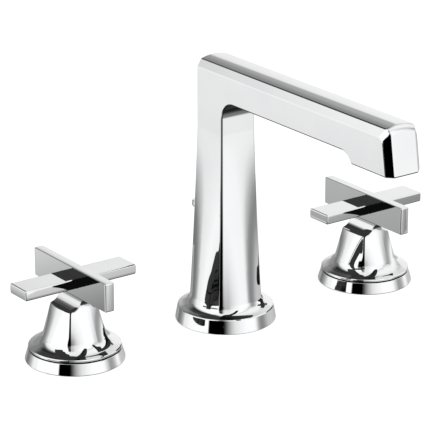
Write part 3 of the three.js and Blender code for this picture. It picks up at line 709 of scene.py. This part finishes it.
def bellCage(shape):
    cage = Cage()
    corner = math.radians(shape["corner"])
    cornerX = shape["shoulderRadius"] * math.cos(corner)
    floorX = shape["ribHalf"] + shape["scoopRadius"]
    scoop = []
    for step in range(shape["scoopSteps"] + 1):
        angle = math.pi / 2 * step / shape["scoopSteps"]
        scoop.append(floorX - shape["scoopRadius"] * math.sin(angle))
    across = [cornerX] + scoop + [shape["ribHalf"] / 2]
    across = across + [0] + [-x for x in across[::-1]]
    stepsY = [-x / cornerX for x in across[:-1]]
    stepsX = [2 * step / shape["sideSteps"] - 1 for step in range(shape["sideSteps"])]

    profile = roundCorners([
        (0, shape["skirtBottom"], 0),
        (shape["skirtRadius"], shape["skirtBottom"], shape["skirtRounding"]),
        (shape["skirtRadius"], shape["skirtTop"], shape["skirtRounding"]),
        (
            shape["skirtRadius"] - shape["skirtBevel"],
            shape["skirtTop"] + shape["skirtBevel"], shape["bevelRounding"],
        ),
        (*shape["filletStart"], 0),
    ])[1:-1]
    profile += hollowCurve(
        profile[-1], shape["filletStart"], shape["filletEnd"],
        (shape["shoulderRadius"], shape["shoulder"]), shape["filletSteps"],
    )
    for step in range(1, shape["flankSteps"] + 1):
        share = step / shape["flankSteps"]
        profile.append((
            mix(shape["filletEnd"][0], shape["shoulderRadius"], share),
            mix(shape["filletEnd"][1], shape["shoulder"], share),
        ))
    rings = []
    for radius, height in profile:
        roundness = bellRoundness(shape, height)
        ring = squaredRing(radius, height, (roundness, roundness), corner, stepsX, stepsY)
        rings.append(cage.line(ring))
    cage.skin(rings)
    cage.face(rings[0])
    top = rings[-1]
    rim = shape["rimEdge"]

    # end walls of the rib: rows up to the scoops' top, then on up under the blade
    scoopTop = shape["shoulder"] + shape["scoopRadius"]
    low = [row / shape["wallRows"] for row in range(1, shape["wallRows"] + 1)]
    high = []
    for step in range(1, shape["ribSteps"] + 1):
        rise = math.sin(math.pi / 2 * step / shape["ribSteps"])
        high.append(mix(scoopTop, shape["ribTop"], rise))
    countX, countY = len(stepsX), len(stepsY)
    walls = {}
    for way in (1, -1):
        ringStart = countX if way == 1 else 2 * countX + countY
        columns = []
        for step in range(1, countY):
            x = across[step] * way
            foot = top[ringStart + step]
            onRib = abs(x) < shape["ribHalf"] + 0.001
            roof = scoopTop if onRib else shape["shoulder"]
            if abs(x) <= floorX and not onRib:
                drop = shape["scoopRadius"] ** 2 - (floorX - abs(x)) ** 2
                roof = scoopTop - math.sqrt(max(0, drop))
            column = [foot]
            for share in low:
                height = mix(shape["shoulder"], roof, share)
                end = ribEnd(shape, x, height) * way
                column.append(cage.at(x, end, height) if roof > shape["shoulder"] else foot)
            if onRib:
                for height in high:
                    column.append(cage.at(x, ribEnd(shape, x, height) * way, height))
            columns.append(column)
        walls[way] = columns
        for one, other in zip(columns, columns[1:]):
            shared = min(len(one), len(other))
            cage.strip(one[:shared], other[:shared])
        scooped = [column for column in columns if len(column) == len(low) + 1]
        halfway = len(scooped) // 2
        ribSide = [column for column in columns if len(column) > len(low) + 1]
        cage.soften([column[len(low)] for column in scooped[:halfway] + ribSide[:1]], rim)
        cage.soften([column[len(low)] for column in ribSide[-1:] + scooped[halfway:]], rim)

    # scoop surfaces, rib flanks, rib top and ledges
    front, rear = walls[-1], walls[1][::-1]
    lowTop = len(low)
    for turn in range(len(front) - 1):
        pair = (front[turn], front[turn + 1], rear[turn + 1], rear[turn])
        if all(len(column) > lowTop + 1 for column in pair):
            cage.face([column[-1] for column in pair])
        else:
            cage.face([column[lowTop] for column in pair])
    for turn, (one, other) in enumerate(zip(front, rear)):
        edge = turn > 0 and len(front[turn - 1]) != len(one)
        edge = edge or (turn + 1 < len(front) and len(front[turn + 1]) != len(one))
        if edge and len(one) > lowTop + 1:
            cage.face(one[lowTop:] + other[lowTop:][::-1])
    right = top[0:countX + 1]
    left = top[countX + countY:2 * countX + countY + 1]
    cage.face(right + [top[countX + 1], top[-1]])
    cage.face(left + [top[2 * countX + countY + 1], top[countX + countY - 1]])
    cage.soften([top[-1]] + right + [top[countX + 1]], rim)
    cage.soften([top[countX + countY - 1]] + left + [top[2 * countX + countY + 1]], rim)
    plain = sum(height <= shape["ridgesFrom"] for radius, height in profile)
    for spot in (0, countX, countX + countY, 2 * countX + countY):
        cage.soften([ring[spot] for ring in rings[plain:]])
    return cage


def makeBell(side, centre, shape):
    bell = bellCage(shape).build(side + "Bell")
    roundEdges(bell, shape["edge"])
    cavity = turnedCage([
        (0, shape["cavityFrom"]),
        (shape["rebateRadius"], shape["cavityFrom"]),
        (shape["rebateRadius"], shape["rebateTop"]),
        (shape["cavityRadius"], shape["rebateTop"]),
        (shape["cavityRadius"], shape["nutTop"] + shape["headroom"] / 2),
        (shape["neckRadiusInside"] + shape["headroom"], shape["neckRoof"]),
        (0, shape["neckRoof"]),
    ], 64).build("tool")
    cutAway(bell, cavity)
    cutAway(bell, barrel(
        shape["stemBore"], (0, 0, shape["neckRoof"] - 1), (0, 0, shape["stemTop"]), 48,
    ))
    height = shape["screwHeight"]
    cutAway(bell, barrel(shape["screwBore"], (0, 0, height), (0, shape["screwReach"], height), 32))
    settle(bell, side + "_handle", [side + "_bell"], chrome, centre)


# Cross bars: the same bar lies flat along X and stands on edge along Y

barShape = {
    "halfLength": 35.3, "halfWidth": 8.1, "halfThickness": 2.85, "crown": 0.1,
    "crownSteps": 8, "edge": 0.75, "edgeSteps": 8, "edgeProfile": 0.5,
    "centre": 45.9, "play": 0.04,
}


def barCage(shape, place, window):
    cage = Cage()
    crown, halfThickness = shape["crown"], shape["halfThickness"]
    radius = (halfThickness ** 2 + crown ** 2) / (2 * crown)
    rings = []
    for step in range(shape["crownSteps"] + 1):
        z = halfThickness * (2 * step / shape["crownSteps"] - 1)
        bow = radius - math.sqrt(radius ** 2 - z * z)
        x, y = shape["halfLength"] - bow, shape["halfWidth"] - bow
        rings.append(cage.line([place(*corner) for corner in rectangle(x, y, z)]))
    cage.skin(rings)
    for ring in (rings[0], rings[-1]):
        cage.soften(ring + ring[:1])
        if not window:
            cage.face(ring)
    for corner in range(4):
        cage.soften([ring[corner] for ring in rings])
    if window:
        holes = []
        for ring, z in ((rings[0], -halfThickness), (rings[-1], halfThickness)):
            hole = cage.line([place(*corner) for corner in rectangle(*window, z)])
            cage.strip(ring, hole, True)
            holes.append(hole)
        cage.skin(holes)
    return cage


def makeBars(side, centre, shape):
    height = shape["centre"]
    flat = barCage(shape, lambda x, y, z: (x, y, z + height), None)
    flat = flat.build(side + "FlatBar")
    roundEdges(flat, shape["edge"], shape["edgeSteps"], shape["edgeProfile"])
    settle(flat, side + "_handle", [side + "_flat_bar"], chrome, centre)
    window = (shape["halfWidth"] + shape["play"], shape["halfThickness"] + shape["play"])
    blade = barCage(shape, lambda x, y, z: (z, x, y + height), window)
    blade = blade.build(side + "Blade")
    roundEdges(blade, shape["edge"], shape["edgeSteps"], shape["edgeProfile"])
    settle(blade, side + "_handle", [side + "_blade"], chrome, centre)


handlePlaces = {"hot": -101.6, "cold": 101.6}

for side, centre in handlePlaces.items():
    makeBase(side, centre, baseShape)
    makeBell(side, centre, bellShape)
    makeBars(side, centre, barShape)
    print(side, "handle made")


# Camera where the photograph was taken from

cameraPlace = {
    "place": (-0.78307, -1.06668, 0.53402), "azimuth": -36.025, "elevation": 19.676,
    "focal": 2511.36, "imageWidth": 430, "sensor": 36.0, "clip": (0.05, 20),
}


def makeCamera(values):
    camera = bpy.data.objects.new("camera", bpy.data.cameras.new("camera"))
    bpy.context.scene.collection.objects.link(camera)
    azimuth, elevation = math.radians(values["azimuth"]), math.radians(values["elevation"])
    back = Vector((
        math.sin(azimuth) * math.cos(elevation),
        -math.cos(azimuth) * math.cos(elevation),
        math.sin(elevation),
    ))
    camera.location = values["place"]
    camera.rotation_euler = (-back).to_track_quat("-Z", "Y").to_euler()
    camera.data.sensor_width = values["sensor"]
    camera.data.lens = values["focal"] * values["sensor"] / values["imageWidth"]
    camera.data.clip_start, camera.data.clip_end = values["clip"]
    bpy.context.scene.camera = camera


makeCamera(cameraPlace)


# Studio: a bright tent with a dark gap in front on the left and a dim back. Each row
# gives direction round the faucet in degrees, 0 in front and 90 at the right, and how
# bright a mirror shows it there, from 0 to 1. "middle" lies round the horizon, and the
# pairs of angles say between which heights another row takes over. A mirror that is seen
# in a mirror shows the row "secondBounce".
studio = {
    "middle": [
        (-180, 0.47), (-170, 0.48), (-160, 0.58), (-150, 0.76), (-145, 0.89), (-140, 0.94),
        (-130, 0.96), (-125, 1.0), (-71, 1.0), (-70, 0.0), (-45, 0.0), (-42, 0.20),
        (-38, 0.40), (-32, 0.62), (-26, 0.76), (-18, 0.88), (-6, 0.95), (10, 1.0),
        (32, 1.0), (38, 0.96), (43, 0.86), (54, 0.59), (60, 0.62), (66, 0.68),
        (80, 0.96), (90, 0.97), (110, 0.72), (120, 0.92), (135, 0.94), (148, 0.89),
        (156, 0.68), (166, 0.55),
    ],
    "low": [
        (-180, 0.44), (-166, 0.49), (-160, 0.58), (-155, 0.67), (-150, 0.77), (-145, 0.90),
        (-135, 0.93), (-120, 0.97), (-103, 0.94), (-101, 0.20), (-75, 0.24), (-72, 0.72),
        (-68, 0.72), (-65, 0.0), (-48, 0.0), (-42, 0.40), (-30, 0.70), (-20, 0.81),
        (-10, 0.89), (0, 0.94), (12, 0.97), (33, 0.96), (38, 0.91), (44, 0.73),
        (50, 0.58), (56, 0.52), (64, 0.55), (72, 0.66), (80, 0.74), (96, 0.77),
        (120, 0.74), (150, 0.62),
    ],
    "upper": [
        (-180, 0.48), (-168, 0.45), (-160, 0.42), (-155, 0.74), (-150, 0.90), (-140, 0.97),
        (-130, 1.0), (-73, 1.0), (-70, 0.05), (-56, 0.05), (-46, 0.30), (-40, 0.66),
        (-30, 0.84), (-10, 0.97), (10, 1.0), (31, 0.98), (38, 0.90), (44, 0.80),
        (54, 0.84), (66, 0.88), (80, 0.95), (95, 0.95), (112, 0.78), (124, 0.88),
        (134, 0.85), (141, 0.84), (143.5, 0.67), (150, 0.64), (155, 0.56), (165, 0.50),
    ],
    "high": [
        (-180, 0.14), (-170, 0.16), (-161, 0.42), (-152, 0.85), (-140, 0.98), (-75, 1.0),
        (-67, 0.20), (-57, 0.20), (-42, 0.66), (-30, 0.88), (0, 1.0), (34, 0.99),
        (44, 0.84), (58, 0.95), (95, 0.95), (115, 0.88), (132, 0.80), (142, 0.60),
        (150, 0.46), (158, 0.33), (168, 0.22),
    ],
    "underneath": [
        (-180, 0.46), (-135, 0.52), (-122, 0.90), (-78, 0.90), (-68, 0.30), (-50, 0.10),
        (-30, 0.46), (180, 0.46),
    ],
    "secondBounce": [
        (-180, 0.21), (-100, 0.21), (-80, 0.05), (-15, 0.05), (10, 0.16), (60, 0.20), (180, 0.21),
    ],
    "lowBelow": (-9, -5), "upperAbove": (21.5, 26), "highAbove": (30, 42),
    "overhead": 0.95, "overheadAbove": (66, 82), "underneathBelow": (-29, -16),
    "floorUnder": 0.14, "floorUnderBelow": (-52, -34), "mirror": 0.93, "firstRays": 2.5,
}


def fromDisplay(value):
    return ((value + 0.055) / 1.055) ** 2.4 if value > 0.04 else value / 12.92


def makeStudio(values):
    world = bpy.data.worlds.new("studio")
    world.use_nodes = True
    bpy.context.scene.world = world
    bench = NodeBench(world.node_tree)
    world.node_tree.nodes.clear()
    output = bench.add("ShaderNodeOutputWorld")
    light = bench.add("ShaderNodeBackground")
    bench.link(light.outputs[0], output.inputs["Surface"])
    direction = bench.add("ShaderNodeTexCoord").outputs["Generated"]
    split = bench.add("ShaderNodeSeparateXYZ")
    bench.link(direction, split.inputs[0])
    x, y, z = split.outputs
    turn = bench.math("ARCTAN2", x, bench.math("MULTIPLY", y, -1))
    place = bench.math("ADD", bench.math("DIVIDE", turn, 2 * math.pi), 0.5)
    height = bench.math("MULTIPLY", bench.math("ARCSINE", z), 180 / math.pi)

    def tentRamp(rows):
        stops = []
        for angle, brightness in rows:
            grey = fromDisplay(brightness) / values["mirror"]
            stops.append(((angle + 180) / 360, (grey, grey, grey)))
        return bench.ramp(place, stops)

    shown = tentRamp(values["middle"])
    shown = bench.mixed(bench.between(height, *values["lowBelow"]), tentRamp(values["low"]), shown)
    for name in ("upper", "high"):
        above = bench.between(height, *values[name + "Above"])
        shown = bench.mixed(above, shown, tentRamp(values[name]))
    below = bench.between(height, *values["underneathBelow"])
    shown = bench.mixed(below, tentRamp(values["underneath"]), shown)
    above = bench.between(height, *values["overheadAbove"])
    shown = bench.mixed(above, shown, (fromDisplay(values["overhead"]),) * 3)
    below = bench.between(height, *values["floorUnderBelow"])
    shown = bench.mixed(below, (fromDisplay(values["floorUnder"]),) * 3, shown)
    path = bench.add("ShaderNodeLightPath")
    again = bench.math("GREATER_THAN", path.outputs["Ray Depth"], values["firstRays"])
    shown = bench.mixed(again, shown, tentRamp(values["secondBounce"]))
    seen = bench.mixed(path.outputs["Is Camera Ray"], shown, (1.0, 1.0, 1.0))
    bench.link(seen, light.inputs["Color"])


# An empty material for the floor and for the cards that paint reflections, with its nodes still to
# come.
def makePaper(name, piece):
    paper = bpy.data.materials.new(name)
    paper.use_nodes = True
    paper.node_tree.nodes.clear()
    piece.data.materials.append(paper)
    return NodeBench(paper.node_tree)


# Painted reflection: grey cards on the floor glow and are seen only in the upright faces of
# the handles' bars, where they paint a darker, shaded floor. They fade out at their borders.
# They lie between two values of Y and between two values that X has at Y = 0, and run
# slantwise by "slant". "grey" gives the brightness of the painted reflection at the front
# left, front right, back left and back right corner. "bar" is the face that sees the card:
# its axis (0 is X, 1 is Y), its place on it, and how much longer the way from the face to the
# card is than its part along that axis. Other faces are nearer or farther and miss the
# card. A card with a "height" stands that far above the floor.
paintedReflectionCards = {
    "hotSide": {
        "x": (-186, -150), "y": (36, 166), "slant": 0.0, "bar": (0, -104.45, 1.990),
        "grey": (0.46, 0.46, 0.84, 0.84),
    },
    "hotFront": {
        "x": (-156, -58), "y": (-145, -88), "slant": -0.727, "bar": (1, -8.1, 1.272),
        "grey": (0.81, 0.76, 0.78, 0.735),
    },
    "hotEnd": {
        "x": (-135, -106), "y": (-120, -66), "slant": -0.664, "bar": (1, -35.3, 1.288),
        "grey": (0.92, 0.60, 0.72, 0.42),
        "height": 20.0,
    },
    "coldSide": {
        "x": (-8, 40), "y": (36, 166), "slant": 0.0, "bar": (0, 98.75, 1.660),
        "grey": (0.62, 0.62, 0.70, 0.70),
    },
    "coldTip": {
        "x": (-40, 0), "y": (60, 140), "slant": 0.0, "bar": (0, 66.1, 1.660),
        "grey": (0.62, 0.62, 0.66, 0.66),
    },
    "coldFront": {
        "x": (60, 160), "y": (-150, -80), "slant": -0.727, "bar": (1, -8.1, 1.377),
        "grey": (0.67, 0.55, 0.64, 0.52),
    },
    "coldEnd": {
        "x": (54, 98), "y": (-166, -112), "slant": -0.727, "bar": (1, -35.3, 1.377),
        "grey": (0.84, 0.55, 0.74, 0.46),
    },
}
paintedReflectionLook = {"height": 0.2, "border": 4.0, "play": 10.0, "firstRays": 1.5}


# One card. Its grey glow paints a darker, shaded floor reflection into one face of a bar.
def makePaintedReflectionCard(name, values, look, height):
    cage = Cage()
    (left, right), (front, back), slant = values["x"], values["y"], values["slant"]
    corners = [(left, front), (right, front), (right, back), (left, back)]
    cage.face(cage.line([(x + slant * y, y, height) for x, y in corners]))
    card = cage.build(name)
    card.data.transform(Matrix.Scale(millimetre, 4))
    card.visible_camera = card.visible_diffuse = card.visible_shadow = False
    card.visible_transmission = card.visible_volume_scatter = False
    bench = makePaper(name, card)
    split = bench.add("ShaderNodeSeparateXYZ")
    bench.link(bench.add("ShaderNodeTexCoord").outputs["Object"], split.inputs[0])
    y = split.outputs[1]
    x = bench.math("SUBTRACT", split.outputs[0], bench.math("MULTIPLY", y, slant))
    border = look["border"] * millimetre
    path = bench.add("ShaderNodeLightPath")
    axis, start, longer = values["bar"]
    away = bench.math("SUBTRACT", start * millimetre, split.outputs[axis])
    way = bench.math("MULTIPLY", away, longer)
    miss = bench.math("ABSOLUTE", bench.math("SUBTRACT", way, path.outputs["Ray Length"]))
    cover = bench.between(miss, look["play"] * millimetre, look["play"] * millimetre / 2)
    once = bench.math("LESS_THAN", path.outputs["Ray Depth"], look["firstRays"])
    cover = bench.math("MULTIPLY", once, cover)
    for place, (start, end) in ((x, values["x"]), (y, values["y"])):
        start, end = start * millimetre, end * millimetre
        cover = bench.math("MULTIPLY", bench.between(place, start, start + border), cover)
        cover = bench.math("MULTIPLY", bench.between(place, end, end - border), cover)
    across = bench.between(x, left * millimetre, right * millimetre, False)
    along = bench.between(y, front * millimetre, back * millimetre, False)
    greys = [(fromDisplay(grey) / studio["mirror"],) * 3 for grey in values["grey"]]
    shown = bench.mixed(along, bench.mixed(across, *greys[:2]), bench.mixed(across, *greys[2:]))
    # The glow is the painted reflection, and it shows only where the cover lets it through.
    glow = bench.add("ShaderNodeEmission")
    bench.link(shown, glow.inputs["Color"])
    clear = bench.add("ShaderNodeBsdfTransparent")
    both = bench.add("ShaderNodeMixShader")
    bench.link(cover, both.inputs[0])
    bench.link(clear.outputs[0], both.inputs[1])
    bench.link(glow.outputs[0], both.inputs[2])
    output = bench.add("ShaderNodeOutputMaterial")
    bench.link(both.outputs[0], output.inputs["Surface"])


# White floor: what the camera sees is a plain white with a faint shadow.
floorLook = {"half": 3000, "paint": 0.85, "shadowShare": 0.4, "glow": 0.84}


def makeFloor(values):
    cage = Cage()
    cage.face(cage.line(rectangle(values["half"], values["half"], 0)))
    floor = cage.build("floor")
    floor.data.transform(Matrix.Scale(millimetre, 4))
    floor.visible_glossy = False
    bench = makePaper("paper", floor)
    output = bench.add("ShaderNodeOutputMaterial")
    plain, seen = bench.add("ShaderNodeBsdfDiffuse"), bench.add("ShaderNodeBsdfDiffuse")
    plain.inputs["Color"].default_value = (*[values["paint"]] * 3, 1)
    seen.inputs["Color"].default_value = (*[values["shadowShare"]] * 3, 1)
    glow = bench.add("ShaderNodeEmission")
    glow.inputs["Strength"].default_value = values["glow"]
    both = bench.add("ShaderNodeAddShader")
    choice = bench.add("ShaderNodeMixShader")
    path = bench.add("ShaderNodeLightPath")
    bench.link(seen.outputs[0], both.inputs[0])
    bench.link(glow.outputs[0], both.inputs[1])
    bench.link(path.outputs["Is Camera Ray"], choice.inputs[0])
    bench.link(plain.outputs[0], choice.inputs[1])
    bench.link(both.outputs[0], choice.inputs[2])
    bench.link(choice.outputs[0], output.inputs["Surface"])


makeStudio(studio)
# Cards that paint shaded floor reflections into the bars' upright faces.
for order, (name, values) in enumerate(paintedReflectionCards.items()):
    makePaintedReflectionCard(name, values, paintedReflectionLook, values.get("height", paintedReflectionLook["height"] * (order + 1)))
makeFloor(floorLook)
print("studio lit")
bpy.context.scene.view_settings.view_transform = "Standard"
